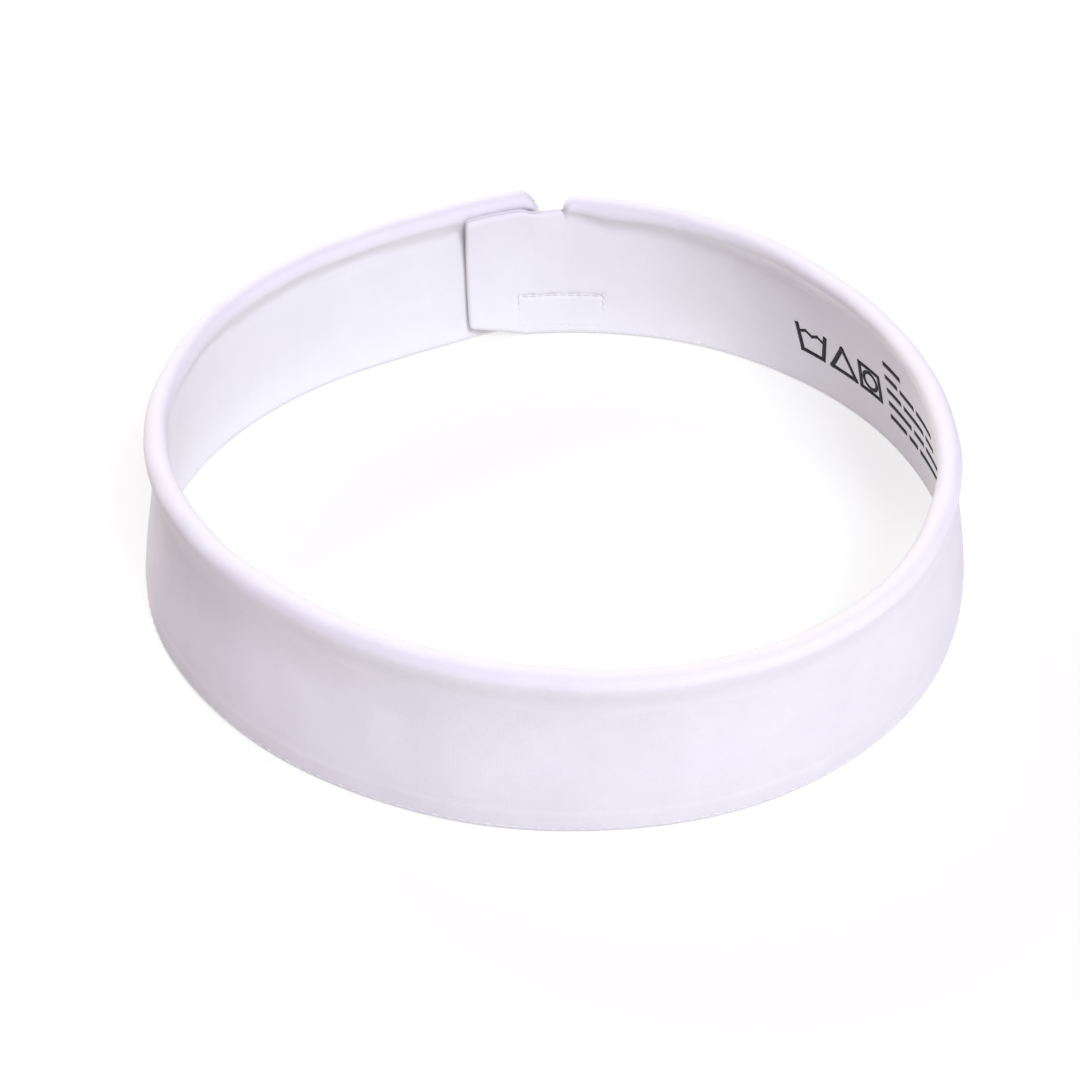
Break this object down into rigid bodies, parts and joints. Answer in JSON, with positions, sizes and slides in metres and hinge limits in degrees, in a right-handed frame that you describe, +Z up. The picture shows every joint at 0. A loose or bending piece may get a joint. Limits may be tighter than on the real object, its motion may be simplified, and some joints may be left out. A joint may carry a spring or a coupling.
{
  "type": "headband",
  "caption": "Stiffened white fabric headband with a corded top rim, a lined band and an overlapping hook-and-loop closure at the back.",
  "frame": {"origin": "centre of the whole band's footprint, at hem level", "axes": "+Z up through the head opening, front of the band towards -Y, closure at +Y, +X to the wearer's side that is on the right when the band is seen from the front"},
  "size_m": [0.193, 0.1898, 0.0425],
  "materials": {
    "shell_fabric": "fine plain-woven cotton blend, matt, off-white",
    "lining_fabric": "smooth woven lining, matt, off-white",
    "stiffener": "stiff non-woven interlining",
    "rim_fabric": "the shell fabric rolled over a cord",
    "rim_cord": "soft braided cotton cord",
    "hook_tape": "white nylon hook tape",
    "loop_tape": "white brushed loop tape",
    "thread": "white polyester sewing thread, slight sheen"
  },
  "bodies": {
    "band": {"outer_shell": "shell_fabric", "stiffener": "stiffener", "lining": "lining_fabric", "rim_cover": "rim_fabric", "rim_core": "rim_cord", "hem_thread": "thread", "rim_thread": "thread", "hook_tape_base": "hook_tape", "hook_thread_base": "thread"},
    "left_rear": {"left_outer_shell": "shell_fabric", "left_stiffener": "stiffener", "left_lining": "lining_fabric", "left_rim_cover": "rim_fabric", "left_rim_core": "rim_cord", "left_hem_thread": "thread", "left_rim_thread": "thread", "loop_tape": "loop_tape"},
    "tab": {"tab_shell": "shell_fabric", "tab_stiffener": "stiffener", "tab_lining": "lining_fabric", "hook_tape_tab": "hook_tape", "hook_thread_tab": "thread"}
  },
  "joints": [
    {"name": "rear_opening", "type": "hinge", "parent": "band", "child": "left_rear", "pos_m": [-0.09667, -0.00199, 0.02], "axis": [0, 0, 1], "range_deg": [0, 35]},
    {"name": "tab_peel", "type": "hinge", "parent": "band", "child": "tab", "pos_m": [0.00509, 0.08732, 0.02], "axis": [0, 0, 1], "range_deg": [0, 45]}
  ]
}
